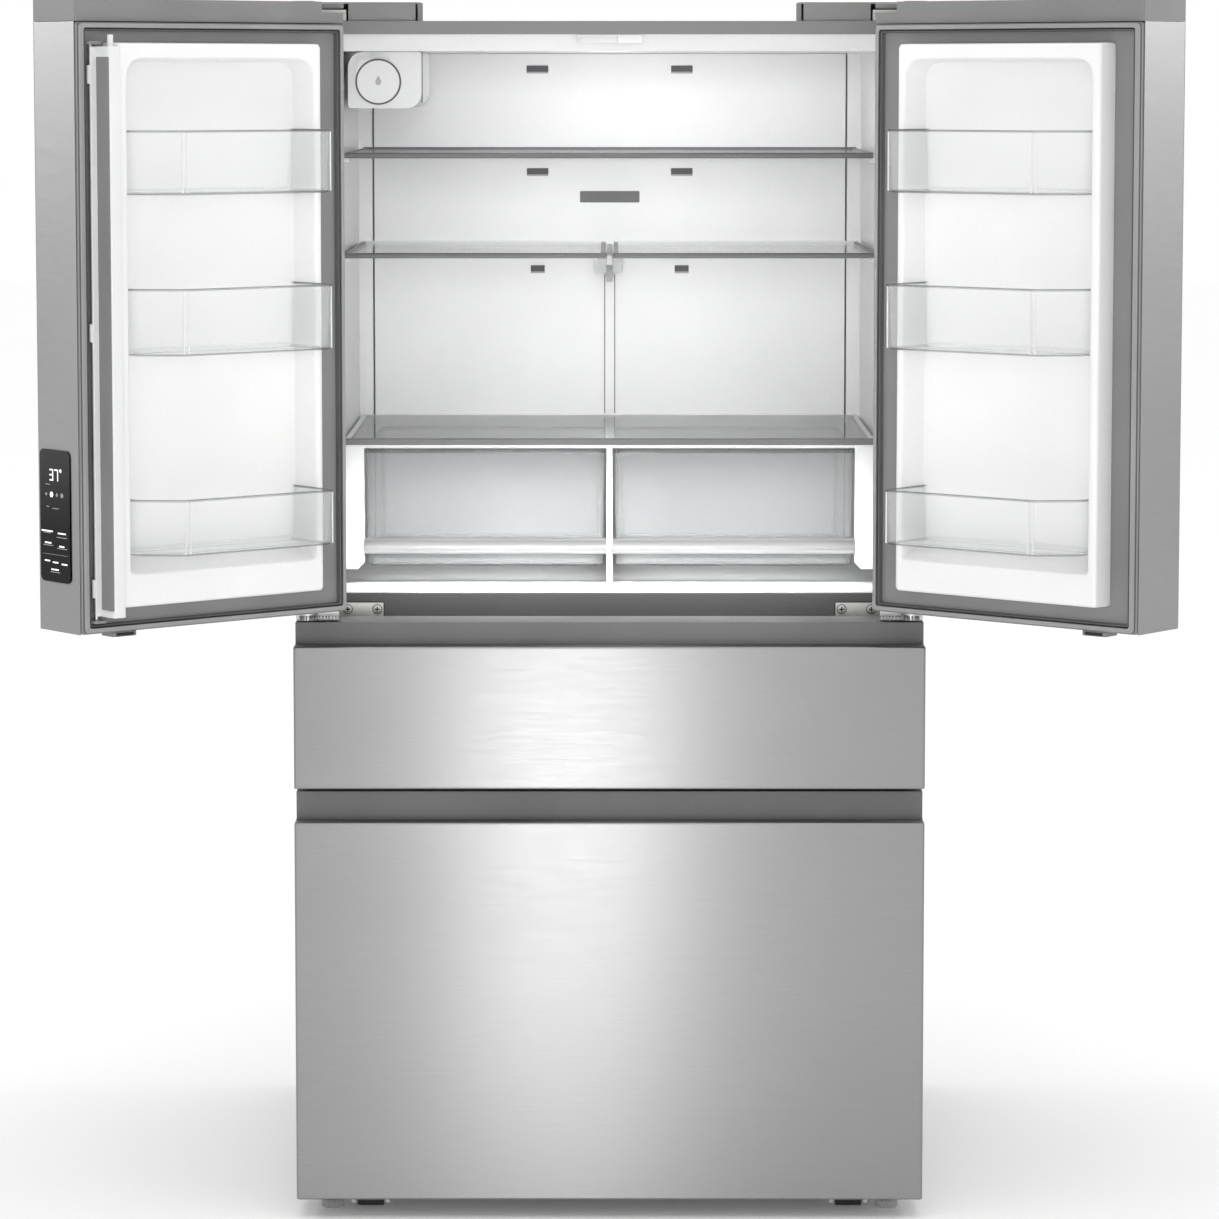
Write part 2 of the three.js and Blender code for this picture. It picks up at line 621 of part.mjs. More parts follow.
for (const side of ['left', 'right']) {
  const half = new THREE.Group();
  half.scale.x = side === 'left' ? 1 : -1;
  place(half, `hinge_cover_${side}`, hingeCover(), greyPlastic);
  place(half, `upper_hinge_${side}`, upperHinge(), zincSteel);
  place(half, `lower_hinge_${side}`, lowerHinge(), zincSteel);
  place(half, `leg_bracket_${side}`, legBracket(), zincSteel);
  place(half, `levelling_foot_${side}`, levellingFoot(), darkRubber);
  place(half, `front_roller_${side}`, frontRoller(), darkRubber);
  place(half, `half_shelf_${side}`, shelf([-390, -6], halfShelfTop, 7.5), shelfGlass);
  place(half, `crisper_bin_${side}`, crisperBin(), clearPlastic);
  place(half, `crisper_handle_${side}`, crisperHandle(), satinPlastic);
  half.add(buildDoor(side));
  refrigerator.add(half);
}

export default refrigerator;
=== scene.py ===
"""A stainless french door refrigerator with its doors open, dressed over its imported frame."""
import json
import math

import bmesh
import bpy
from mathutils import Matrix, Vector


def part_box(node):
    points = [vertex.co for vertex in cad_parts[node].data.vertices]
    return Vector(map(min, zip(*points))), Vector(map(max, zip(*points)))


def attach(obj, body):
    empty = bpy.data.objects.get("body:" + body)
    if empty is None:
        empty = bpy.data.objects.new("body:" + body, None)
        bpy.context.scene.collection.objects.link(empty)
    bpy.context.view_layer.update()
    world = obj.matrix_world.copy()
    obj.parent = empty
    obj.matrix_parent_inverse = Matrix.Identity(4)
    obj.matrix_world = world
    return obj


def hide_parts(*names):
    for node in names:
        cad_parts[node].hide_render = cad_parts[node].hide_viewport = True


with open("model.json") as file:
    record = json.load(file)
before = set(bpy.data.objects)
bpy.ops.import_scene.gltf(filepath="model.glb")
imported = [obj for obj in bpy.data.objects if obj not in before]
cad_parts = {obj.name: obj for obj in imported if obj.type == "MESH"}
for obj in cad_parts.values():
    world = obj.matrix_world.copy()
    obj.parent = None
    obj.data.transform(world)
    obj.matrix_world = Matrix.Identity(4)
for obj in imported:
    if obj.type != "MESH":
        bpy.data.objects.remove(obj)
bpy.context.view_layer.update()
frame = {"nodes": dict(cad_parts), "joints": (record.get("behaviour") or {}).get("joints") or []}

# Pieces are drawn in millimetres: cabinet pieces in the row frame, door pieces in the door's own
# directions, which are u from the hinge along the door, v from its front to its back, and z up.
MM = 0.001
NODES = frame["nodes"]
JOINTS = {joint["name"]: joint for joint in frame["joints"]}
SIDES = ("left", "right")
ROW = Matrix.Scale(MM, 4)


def door_place(side):
    """The matrix from a door's own directions, in millimetres, to the row frame."""
    joint = JOINTS["left_door_swing"]
    axis = Matrix.Translation((joint["pos_m"][0], joint["pos_m"][1], 0))
    swung = axis @ Matrix.Rotation(math.radians(joint["range_deg"][0]), 4, "Z") @ ROW
    return swung if side == "left" else Matrix.Diagonal((-1, 1, 1, 1)) @ swung


DOOR = {side: door_place(side) for side in SIDES}


def span(node, place=ROW):
    """The lowest and highest corner of a CAD node, in millimetres, along the directions of place."""
    back = place.inverted()
    points = [back @ vertex.co for vertex in NODES[node].data.vertices]
    low = Vector(min(point[k] for point in points) for k in range(3))
    high = Vector(max(point[k] for point in points) for k in range(3))
    return low, high


# ---------------------------------------------------------------- materials


def grey(level, tint=(1.0, 1.0, 1.0)):
    """A colour from a display grey of 0 to 255, with a slight tint."""
    linear = ((level / 255 + 0.055) / 1.055) ** 2.4
    return tuple(linear * part for part in tint) + (1.0,)


NEUTRAL = (1.0, 1.0, 1.0)
COOL = (0.97, 0.99, 1.0)


class Finish:
    """A Principled material, with short calls for the nodes that feed it."""

    def __init__(self, name, **sockets):
        self.material = bpy.data.materials.new(name)
        self.material.use_nodes = True
        self.tree = self.material.node_tree
        self.shader = self.tree.nodes["Principled BSDF"]
        for socket, value in sockets.items():
            self.shader.inputs[socket.replace("_", " ")].default_value = value
        self.place = self.tree.nodes.new("ShaderNodeTexCoord").outputs["Object"]

    def link(self, source, socket):
        self.tree.links.new(source, self.shader.inputs[socket])

    def noise(self, cycles, detail=3.0):
        """Noise with this many cycles per metre along x, y and z."""
        mapping = self.tree.nodes.new("ShaderNodeMapping")
        mapping.inputs["Scale"].default_value = cycles
        self.tree.links.new(self.place, mapping.inputs["Vector"])
        noise = self.tree.nodes.new("ShaderNodeTexNoise")
        noise.inputs["Scale"].default_value = 1.0
        noise.inputs["Detail"].default_value = detail
        self.tree.links.new(mapping.outputs["Vector"], noise.inputs["Vector"])
        return noise.outputs[0]

    def height(self, low, high):
        """0 at the height low and 1 at the height high, in metres."""
        parts = self.tree.nodes.new("ShaderNodeSeparateXYZ")
        self.tree.links.new(self.place, parts.inputs[0])
        return self.between(parts.outputs["Z"], 0.0, 1.0, low, high)

    def between(self, source, low, high, start=0.3, end=0.7):
        """The source's start to end, mapped to low to high."""
        node = self.tree.nodes.new("ShaderNodeMapRange")
        for socket, value in zip(("From Min", "From Max", "To Min", "To Max"), (start, end, low, high)):
            node.inputs[socket].default_value = value
        self.tree.links.new(source, node.inputs["Value"])
        return node.outputs["Result"]

    def tones(self, source, first, second):
        """A colour that goes from first to second as the source rises; either may be a socket."""
        node = self.tree.nodes.new("ShaderNodeMix")
        node.data_type = "RGBA"
        self.tree.links.new(source, node.inputs["Factor"])
        for socket, colour in ((node.inputs[6], first), (node.inputs[7], second)):
            if isinstance(colour, tuple):
                socket.default_value = colour
            else:
                self.tree.links.new(colour, socket)
        return node.outputs[2]

    def relief(self, heights, depth):
        """Bumps as deep as depth, in metres."""
        node = self.tree.nodes.new("ShaderNodeBump")
        node.inputs["Distance"].default_value = depth
        self.tree.links.new(heights, node.inputs["Height"])
        self.link(node.outputs["Normal"], "Normal")


def brushed(name, level, rough, streaks, anisotropic):
    """Metal brushed along the horizontal, with faint clouds of tone."""
    finish = Finish(name, Metallic=1.0, Anisotropic=anisotropic, Anisotropic_Rotation=0.25)
    brush = finish.noise((24, 24, streaks))
    cloud = finish.noise((2.5, 2.5, 4.0), 1.0)
    fine = finish.tones(finish.between(brush, 0, 1), grey(level - 3), grey(level + 3))
    coarse = finish.between(cloud, 0.0, 0.35)
    finish.link(finish.tones(coarse, fine, grey(level - 10)), "Base Color")
    finish.link(finish.between(brush, rough - 0.03, rough + 0.04), "Roughness")
    finish.relief(brush, 0.000004)
    tangent = finish.tree.nodes.new("ShaderNodeTangent")
    tangent.direction_type = "RADIAL"
    tangent.axis = "Z"
    finish.link(tangent.outputs["Tangent"], "Tangent")
    return finish.material


def coated(name, level, rough, grain, depth, tint=NEUTRAL, spread=5, **sockets):
    """Paint, moulded plastic or rubber: a fine grain, slow shifts of tone and uneven gloss."""
    finish = Finish(name, **sockets)
    fine = finish.noise((grain, grain, grain))
    slow = finish.noise((6, 6, 6), 2.0)
    colour = finish.tones(finish.between(slow, 0, 1), grey(level - spread, tint), grey(level + spread, tint))
    finish.link(colour, "Base Color")
    finish.link(finish.between(fine, rough - 0.05, rough + 0.06), "Roughness")
    finish.relief(fine, depth)
    return finish.material


def clear(name, level, through, edge, tint=COOL):
    """Clear plastic or glass: its alpha rises from through, seen square on, to edge at a glance."""
    finish = Finish(name, IOR=1.49)
    facing = finish.tree.nodes.new("ShaderNodeLayerWeight")
    facing.inputs["Blend"].default_value = 0.35
    slow = finish.noise((9, 9, 9), 2.0)
    finish.link(finish.between(facing.outputs["Facing"], through, edge, 0.0, 1.0), "Alpha")
    finish.link(finish.tones(slow, grey(level - 5, tint), grey(level + 5, tint)), "Base Color")
    finish.link(finish.between(slow, 0.04, 0.12), "Roughness")
    finish.relief(finish.noise((60, 60, 60)), 0.00002)
    return finish.material


def display_glass(low, high):
    """Black glass over a display whose upper part is lighter with a painted glow."""
    finish = Finish("display_glass", Specular_IOR_Level=0.12)
    glow = finish.height(low, high)
    smear = finish.noise((40, 40, 25))
    # Painted glow: the base colour rises from near black to dark grey up the display's upper part.
    panel = finish.tones(glow, grey(6), grey(58))
    finish.link(finish.tones(finish.between(smear, 0, 0.2), panel, grey(22)), "Base Color")
    finish.link(finish.between(smear, 0.08, 0.2), "Roughness")
    return finish.material


def glowing(name, level, strength):
    """Lit marks on the display, slightly uneven."""
    finish = Finish(name, Roughness=0.4, Emission_Strength=strength)
    uneven = finish.between(finish.noise((300, 300, 300)), 0, 1)
    colour = finish.tones(uneven, grey(level - 20), grey(level))
    finish.link(colour, "Base Color")
    finish.link(colour, "Emission Color")
    return finish.material


def galvanised():
    """Zinc-coated sheet with its spangle of crystals."""
    finish = Finish("galvanised", Metallic=0.85)
    cells = finish.tree.nodes.new("ShaderNodeTexVoronoi")
    cells.inputs["Scale"].default_value = 190.0
    finish.tree.links.new(finish.place, cells.inputs["Vector"])
    parts = finish.tree.nodes.new("ShaderNodeSeparateColor")
    finish.tree.links.new(cells.outputs["Color"], parts.inputs[0])
    crystal = parts.outputs[0]
    finish.link(finish.tones(crystal, grey(168), grey(182, (0.98, 1.0, 1.03))), "Base Color")
    finish.link(finish.between(crystal, 0.32, 0.5, 0.0, 1.0), "Roughness")
    finish.relief(finish.noise((90, 90, 90)), 0.00006)
    return finish.material


panel_low, panel_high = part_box("control_panel")
FINISH = {
    "stainless": brushed("brushed_stainless", 152, 0.33, 1500, 0.85),
    "satin": brushed("satin_trim", 188, 0.36, 900, 0.3),
    "trim": coated("shelf_trim", 112, 0.34, 700, 0.00002, Metallic=0.35),
    "zinc": coated("zinc_plate", 205, 0.36, 500, 0.00003, (1.0, 1.0, 0.97), 8, Metallic=0.9),
    "frame_paint": coated("frame_paint", 124, 0.45, 900, 0.00005, spread=2, Metallic=0.1),
    # A darker copy of the frame paint, as painted shade on the centre rail.
    "rail_paint_with_painted_shade": coated("rail_paint_with_painted_shade", 68, 0.45, 900, 0.00005, spread=2, Metallic=0.1),
    "drawer_grey": coated("drawer_plastic", 99, 0.46, 700, 0.00004),
    "grey": coated("grey_plastic", 128, 0.46, 700, 0.00004),
    "pale_grey": coated("pale_grey_plastic", 172, 0.45, 700, 0.00004),
    "white": coated("white_liner", 236, 0.3, 700, 0.000008, (1.0, 1.0, 0.997), 2),
    "white_trim": coated("white_plastic", 226, 0.34, 700, 0.00001, (0.995, 1.0, 1.0), 2),
    "clear": clear("clear_plastic", 240, 0.05, 0.4),
    "clear_edge": clear("clear_plastic_edge", 96, 0.42, 0.85),
    "smoked": clear("crisper_plastic", 225, 0.12, 0.5),
    "glass": clear("shelf_glass", 150, 0.1, 0.5, (0.95, 1.0, 0.98)),
    "gasket": coated("gasket_rubber", 148, 0.55, 420, 0.00006),
    # Painted shade for gasket folds, vent openings and gaps, and the dark joint round the filter cover.
    "painted_shade_and_dark_joint": coated("painted_shade_and_dark_joint", 92, 0.62, 420, 0.00006),
    "dark": coated("dark_rubber", 52, 0.6, 380, 0.0001),
    # Painted shade: a dark finish laid in slots, screw recesses, gaps and behind plate edges.
    "slot": coated("shadow_slot", 34, 0.75, 380, 0.0001, spread=3),
    "enamel": coated("black_enamel", 46, 0.3, 300, 0.00005),
    "copper": coated("copper_tube", 150, 0.3, 260, 0.00004, (1.35, 0.72, 0.5), 8, Metallic=1.0),
    "foam": coated("foam", 196, 0.85, 700, 0.0004, (1.0, 0.93, 0.72), 8),
    "galvanised": galvanised(),
    "display": display_glass(panel_low.z + 0.4 * (panel_high.z - panel_low.z), panel_high.z),
    "lit": glowing("display_digits", 250, 0.8),
    "dim": glowing("display_legends", 150, 0.25),
}

# ---------------------------------------------------------------- shapes


def rectangle(low, high):
    """The corners of an upright rectangle, anticlockwise."""
    return [Vector(pair) for pair in (low, (high[0], low[1]), high, (low[0], high[1]))]


def inset(points, distance):
    """The corners of an anticlockwise outline, moved inwards by distance."""
    moved = []
    for i, point in enumerate(points):
        come = (point - points[i - 1]).normalized()
        leave = (points[(i + 1) % len(points)] - point).normalized()
        inward = Vector((-come.y - leave.y, come.x + leave.x))
        moved.append(point + inward * (distance / (1 + come.dot(leave))))
    return moved


def rounded(points, reach, steps=4):
    """An outline whose corners turn along short curves that start reach before each corner.
    Reach is one distance, or one for each corner."""
    turned = []
    reaches = reach if isinstance(reach, tuple) else (reach,) * len(points)
    for i, point in enumerate(points):
        back = (points[i - 1] - point).normalized() * reaches[i]
        ahead = (points[(i + 1) % len(points)] - point).normalized() * reaches[i]
        for step in range(steps + 1):
            part = step / steps
            turned.append(point + back * (1 - part) ** 2 + ahead * part**2)
    return turned


def lift(points, level, axis):
    """A flat outline as points in space, at this level along the axis."""
    raised = []
    for point in points:
        place = [point[0], point[1]]
        place.insert("xyz".index(axis), level)
        raised.append(Vector(place))
    return raised


def loft(shape, loops, ring=False, paint=0):
    """Skins loops that have the same number of points; a ring joins the last to the first, and
    other skins get ends. Paint is one material index, or one for each step between loops."""
    rows = [[shape.verts.new(point) for point in loop] for loop in loops]
    pairs = list(zip(rows, rows[1:])) + ([(rows[-1], rows[0])] if ring else [])
    whole = isinstance(paint, int)
    for number, (one, other) in enumerate(pairs):
        for i in range(len(one)):
            face = shape.faces.new((one[i - 1], one[i], other[i], other[i - 1]))
            face.material_index = paint if whole else paint[number]
    if not ring:
        for end in (rows[0][::-1], rows[-1]):
            shape.faces.new(end).material_index = paint if whole else 0


def slab(shape, axis, low, high, corner=1.0, edge=0.6, paint=0):
    """A plate between two corners with its outline rounded across the axis and its rims eased."""
    flat = {"x": (1, 2), "y": (0, 2), "z": (0, 1)}[axis]
    along = "xyz".index(axis)
    corners = rectangle([low[k] for k in flat], [high[k] for k in flat])
    levels = ((edge, low[along]), (0, low[along] + edge), (0, high[along] - edge), (edge, high[along]))
    loops = [lift(rounded(inset(corners, by), corner), level, axis) for by, level in levels]
    loft(shape, loops, paint=paint)


def turned(shape, profile, centre, axis="z", sides=28, flute=0.0, paint=0):
    """A turned body from (radius, level) pairs, with flutes that take up to flute off its radius."""
    loops = []
    for radius, level in profile:
        points = []
        for i in range(sides):
            angle = 2 * math.pi * i / sides
            reach = radius - flute * (i % 2)
            points.append((reach * math.cos(angle), reach * math.sin(angle)))
        loops.append([point + Vector(centre) for point in lift(points, level, axis)])
    loft(shape, loops, paint=paint)


def tube(shape, path, radius, sides=10):
    """A bent tube along a list of points."""
    loops = []
    for i, point in enumerate(path):
        along = path[min(i + 1, len(path) - 1)] - path[max(i - 1, 0)]
        turn = along.to_track_quat("Z", "Y")
        circle = [(radius * math.cos(2 * math.pi * k / sides), radius * math.sin(2 * math.pi * k / sides))
                  for k in range(sides)]
        loops.append([point + turn @ flat for flat in lift(circle, 0, "z")])
    loft(shape, loops)


def eased(obj, width):
    """Eases the hard edges of an object, by a width in millimetres, and shades it smooth with
    flat faces left flat."""
    obj.data.shade_smooth()
    if width:
        bevel = obj.modifiers.new("ease", "BEVEL")
        bevel.width = width * MM
        bevel.segments = 2
        bevel.limit_method = "ANGLE"
        bevel.angle_limit = math.radians(38)
    normals = obj.modifiers.new("normals", "WEIGHTED_NORMAL")
    normals.keep_sharp = True


def piece(shape, name, body, finishes, place=ROW, stands_for=(), ease=0.0, sharp=40):
    """Turns a filled bmesh into a named piece that rides on a body."""
    shape.transform(place)
    bmesh.ops.recalc_face_normals(shape, faces=shape.faces)
    mesh = bpy.data.meshes.new(name)
    shape.to_mesh(mesh)
    shape.free()
    obj = bpy.data.objects.new(name, mesh)
    bpy.context.scene.collection.objects.link(obj)
    for finish in finishes:
        mesh.materials.append(FINISH[finish])
    eased(obj, ease)
    if not ease:
        mesh.set_sharp_from_angle(angle=math.radians(sharp))
    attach(obj, body)
    if stands_for:
        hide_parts(*stands_for)
    return obj


def keep(node, finish, ease=0.5):
    """Shows a CAD node as it is, with a material of its own, and with eased edges unless ease is 0."""
    obj = NODES[node]
    for holder in obj.material_slots:
        holder.material = FINISH[finish]
    custom = obj.data.attributes.get("custom_normal")
    if custom:
        obj.data.attributes.remove(custom)
    if not ease:
        obj.data.shade_flat()
        return
    weld = obj.modifiers.new("weld", "WELD")
    weld.merge_threshold = 0.00001
    planes = obj.modifiers.new("planes", "DECIMATE")
    planes.decimate_type = "DISSOLVE"
    planes.angle_limit = math.radians(0.6)
    eased(obj, ease)


# ---------------------------------------------------------------- doors

# The white panel's raised dike and its pocket, in the door's own directions.
DIKE = {"u": (46, 386), "z": (925, 1696), "top": 109}
POCKET = {"u": (62, 368), "z": (992, 1671), "floor": 52}
RIM_FRONT = 58.0
RIM_BACK = 74.0
MULLION_EARS = (905.0, 1693.2)
BIN_NAMES = ("upper", "middle", "lower")
BIN_CORNER_CUT = 50.5


def door_rim(side):
    """The grey frame of a door's inner side, round the white panel."""
    low, high = span(f"{side}_door_liner", DOOR[side])
    outer = rectangle((low.x + 1.3, low.z + 0.6), (high.x - 1.3, high.z - 0.2))
    inner = rectangle((DIKE["u"][0] - 0.4, DIKE["z"][0] - 0.4), (DIKE["u"][1] + 0.4, DIKE["z"][1] + 0.4))
    levels = (
        (outer, 0, RIM_FRONT), (outer, 0, RIM_BACK - 1.5), (outer, 1.5, RIM_BACK), (inner, 0, RIM_BACK),
        (inner, 0, RIM_FRONT),
    )
    loops = [lift(rounded(inset(corners, by), 4), level, "y") for corners, by, level in levels]
    shape = bmesh.new()
    loft(shape, loops, ring=True)
    if side == "left":
        for level in MULLION_EARS:
            slab(shape, "z", (399, RIM_BACK - 0.5, level), (420, 91, level + 4), 5, 0.5)
    piece(shape, f"{side}_door_rim", f"{side}_door", ["grey"], DOOR[side])


def door_panel(side):
    """The white inner panel: a raised dike round a deep pocket with a sloped ledge at its foot."""
    outer = rectangle((DIKE["u"][0], DIKE["z"][0]), (DIKE["u"][1], DIKE["z"][1]))
    mouth = rectangle((POCKET["u"][0] - 3, POCKET["z"][0] - 20), (POCKET["u"][1] + 3, POCKET["z"][1] + 3))
    back = rectangle((POCKET["u"][0] + 1, POCKET["z"][0] + 1.5), (POCKET["u"][1] - 1, POCKET["z"][1] - 2))
    top = DIKE["top"]
    rows = (
        (outer, 0, 6, 60), (outer, 0, 6, RIM_BACK), (outer, 1, 6, top - 5), (outer, 2.6, 6, top - 1.4),
        (outer, 5.5, 6, top), (mouth, -3, (9, 9, 32, 32), top), (mouth, -0.8, (8, 8, 31, 31), top - 1.4),
        (mouth, 0.6, (7, 7, 30, 30), top - 6), (back, -1.5, (5, 5, 28, 28), POCKET["floor"] + 6),
        (back, 0, (4, 4, 26, 26), POCKET["floor"] + 1.5), (back, 3, (3, 3, 24, 24), POCKET["floor"]),
    )
    shape = bmesh.new()
    loops = [lift(rounded(inset(corners, by), reach, 6), level, "y") for corners, by, reach, level in rows]
    loft(shape, loops)
    piece(shape, f"{side}_door_inner_panel", f"{side}_door", ["white"], DOOR[side],
          (f"{side}_door_liner",), sharp=50)


def door_gasket(side):
    """A magnetic gasket: a soft face over a bellows, with painted shade in its first fold and over its inner
    side and groove.
    """
    node = f"{side}_door_gasket"
    low, high = span(node, DOOR[side])
    outline = rectangle((low.x, low.z), (high.x, high.z))
    profile = ((0.5, 0), (0, 2.5), (2.2, 4.2), (0.4, 6.5), (0.8, 9.6), (2, 10.4), (9.5, 10.4), (10.4, 9.6),
               (10.6, 3.2), (12.4, 3.2), (12.6, 7.2), (14, 8), (16, 7.4), (16.6, 4), (17.6, 0))
    # Index 1 is painted shade: the bellows' first fold and the inner side with its groove.
    paint = [0, 1, 1, 0, 0, 0, 0, 1, 1, 1, 1, 1, 1, 1, 1]
    loops = []
    for across, up in profile:
        turn = 7 if across < 9 else 4
        loops.append(lift(rounded(inset(outline, across * 0.62), turn), low.y + up, "y"))
    shape = bmesh.new()
    loft(shape, loops, ring=True, paint=paint)
    piece(shape, node + "_bellows", f"{side}_door", ["gasket", "painted_shade_and_dark_joint"], DOOR[side],
          (node,), sharp=50)


def door_bin(side, level):
    """A clear bin: drafted walls with a cut-off front corner, a thick rim, a dark foot line and
    three pale upright strips of painted highlight."""
    node = f"{side}_door_bin_{level}"
    low, high = span(node, DOOR[side])
    turn = high.x - BIN_CORNER_CUT
    outline = ((low.x, low.y), (high.x, low.y), (high.x, high.y - BIN_CORNER_CUT + 2), (turn, high.y),
               (low.x, high.y))
    corners = [Vector(pair) for pair in outline]
    rows = (
        (7, low.z), (3.2, low.z + 1.6), (2.8, low.z + 3.2), (0.8, high.z - 3.2), (0, high.z - 2.4),
        (0, high.z - 0.8), (0.8, high.z), (2.6, high.z), (3.2, high.z - 1.4), (5.6, low.z + 8),
        (9, low.z + 3.4),
    )
    paint = [1, 1, 0, 1, 1, 1, 0, 1, 0, 0]
    loops = [lift(rounded(inset(corners, by), 9), z, "z") for by, z in rows]
    shape = bmesh.new()
    loft(shape, loops, paint=paint)
    # Pale upright strips at the corners are painted highlights on the clear plastic.
    for along, back in ((turn - 2, high.y - 2.6), (turn - 10, high.y - 2.6), (low.x + 4, high.y - 3)):
        slab(shape, "z", (along, back, low.z + 3), (along + 1.6, back + 1.8, high.z - 3), 0.4, 0.2, 2)
    piece(shape, f"{side}_clear_bin_{level}", f"{side}_door", ["clear", "clear_edge", "white_trim"],
          DOOR[side], (node,), sharp=55)


def door_foot(side):
    """A small bracket under the door, where its closer sits, with a dark plate of painted shade for a slot in
    its face.
    """
    low, _ = span(f"{side}_door_skin", DOOR[side])
    shape = bmesh.new()
    slab(shape, "z", (340, 42, low.z - 6.5), (379, 73, low.z + 0.4), 3, 0.6)
    # A dark plate of painted shade where the slot is.
    slab(shape, "y", (345, 72.6, low.z - 5.2), (374, 73.6, low.z - 1), 1, 0.3, 1)
    piece(shape, f"{side}_door_closer", f"{side}_door", ["grey", "slot"], DOOR[side])


# ---------------------------------------------------------------- display

SEGMENTS = {3: "abcdg", 7: "abc"}
LEGEND_DEPTH = 0.3
# Rows of plain bars: how far across and down the panel each starts, its length in millimetres,
# and whether it is dim (1) or lit (0).
LEGENDS = (
    (0.2, 0.262, 10, 1), (0.22, 0.43, 7, 1), (0.42, 0.44, 16, 1), (0.05, 0.613, 28, 0),
    (0.6, 0.622, 20, 0), (0.12, 0.628, 18, 1), (0.56, 0.655, 26, 1), (0.16, 0.702, 16, 0),
    (0.64, 0.72, 13, 0), (0.1, 0.722, 25, 1), (0.57, 0.738, 25, 1), (0.15, 0.838, 13, 0),
    (0.42, 0.845, 14, 0), (0.72, 0.852, 14, 0), (0.37, 0.9, 18, 0), (0.34, 0.922, 24, 1),
)


def bar(shape, face, left, right, low, high, paint=0):
    """A thin lit bar on the display, between distances along v and z."""
    slab(shape, "x", (face - 0.1, left, low), (face + LEGEND_DEPTH, right, high), 0.3, 0.1, paint)


def digit(shape, face, left, low, number, wide=9.0, tall=16.0, stroke=1.9):
    """A seven-segment digit."""
    middle, top, right = low + tall / 2, low + tall, left + wide
    bars = {
        "a": (left, right, top - stroke, top), "g": (left, right, middle - stroke / 2, middle + stroke / 2),
        "d": (left, right, low, low + stroke), "b": (right - stroke, right, middle, top),
        "c": (right - stroke, right, low, middle), "f": (left, left + stroke, middle, top),
        "e": (left, left + stroke, low, middle),
    }
    for name in SEGMENTS[number]:
        bar(shape, face, *bars[name])


def display():
    """Generic marks on the touch panel: a two-digit number, four icons and rows of plain bars."""
    place = DOOR["left"]
    low, high = span("control_panel", place)
    face, wide, tall = high.x, high.y - low.y, high.z - low.z

    def at(across, down):
        return low.y + across * wide, high.z - down * tall

    shape = bmesh.new()
    left, foot = at(0.34, 0.235)
    for number, value in enumerate((3, 7)):
        digit(shape, face, left + number * 12.5, foot, value)
    mark, top = at(0.71, 0.15)
    turned(shape, ((2.4, -0.1), (2.4, LEGEND_DEPTH)), (face, mark, top - 1), "x", 12)
    for number, (across, size) in enumerate(((0.22, 2.6), (0.4, 4.2), (0.58, 2.6), (0.75, 3.4))):
        middle, level = at(across, 0.34)
        paint = 0 if number == 1 else 1
        profile = ((size, -0.1), (size, LEGEND_DEPTH))
        turned(shape, profile, (face, middle, level), "x", 4 + 2 * number, paint=paint)
    for across, down, length, paint in LEGENDS:
        start, level = at(across, down)
        bar(shape, face, start, start + length, level - (1.1 if paint else 1.9), level, paint)
    start, level = at(0.07, 0.79)
    bar(shape, face, start, start + 0.86 * wide, level - 0.6, level, 1)
    piece(shape, "display_marks", "left_door", ["lit", "dim"], place)


# ---------------------------------------------------------------- mullion


MULLION_FACE = 407.0
CAP_FOOT = 1676


def mullion_trim():
    """The mullion's grey face between white caps, and the white rib along its edge."""
    low, _ = span("mullion_bar", DOOR["left"])
    shape = bmesh.new()
    slab(shape, "x", (MULLION_FACE - 0.4, 89, low.z + 9), (MULLION_FACE + 0.5, 119.9, CAP_FOOT), 1.5, 0.3)
    piece(shape, "mullion_face_plate", "mullion", ["grey"], DOOR["left"])
    shape = bmesh.new()
    for foot, top in ((CAP_FOOT, 1690.2), (low.z - 0.4, low.z + 8)):
        slab(shape, "z", (low.x, 77.2, foot), (MULLION_FACE + 1, 120.4, top), 2.5, 0.8)
    slab(shape, "z", (406, 84, low.z - 0.2), (415.5, 88, 1690), 1.2, 0.5)
    piece(shape, "mullion_end_caps", "mullion", ["white_trim"], DOOR["left"])


# ---------------------------------------------------------------- inside


def shelf(node, name, trims):
    """A glass shelf in a frame: a rounded front trim, a rear strip and slim side trims."""
    low, high = span(node)
    shape = bmesh.new()
    slab(shape, "z", (low.x + 3, low.y + 4, high.z - 5), (high.x - 3, high.y - 4, high.z - 1), 4, 0.5)
    piece(shape, f"{name}_glass", "cabinet", ["glass"], stands_for=(node,))
    shape = bmesh.new()
    front = [(low.y + 13, low.z), (low.y + 13, high.z), (low.y + 3, high.z), (low.y, high.z - 2.5),
             (low.y, low.z + 2), (low.y + 2, low.z)]
    loft(shape, [lift(front, x, "x") for x in (low.x, high.x)])
    slab(shape, "z", (low.x, high.y - 11, low.z), (high.x, high.y, high.z + 1.6), 2, 0.6, 1)
    for edge in (low.x, high.x - 7):
        slab(shape, "z", (edge, low.y + 12, low.z), (edge + 7, high.y - 10, high.z + 0.2), 1, 0.5)
    piece(shape, f"{name}_trim", "cabinet", trims, ease=0.5)


def crisper_cover():
    """The crispers' glass cover behind a grey front trim."""
    node = "crisper_cover_glass"
    low, high = span(node)
    shape = bmesh.new()
    slab(shape, "z", low, high, 3, 0.4)
    piece(shape, "crisper_cover_pane", "cabinet", ["glass"], stands_for=(node,))
    frame_low, frame_high = span("crisper_frame")
    shape = bmesh.new()
    slab(shape, "z", (frame_low.x, frame_low.y - 1.2, frame_high.z - 9),
         (frame_high.x, low.y + 0.5, frame_high.z + 0.6), 3, 1.2)
    piece(shape, "crisper_front_trim", "cabinet", ["trim"], ease=0.8)


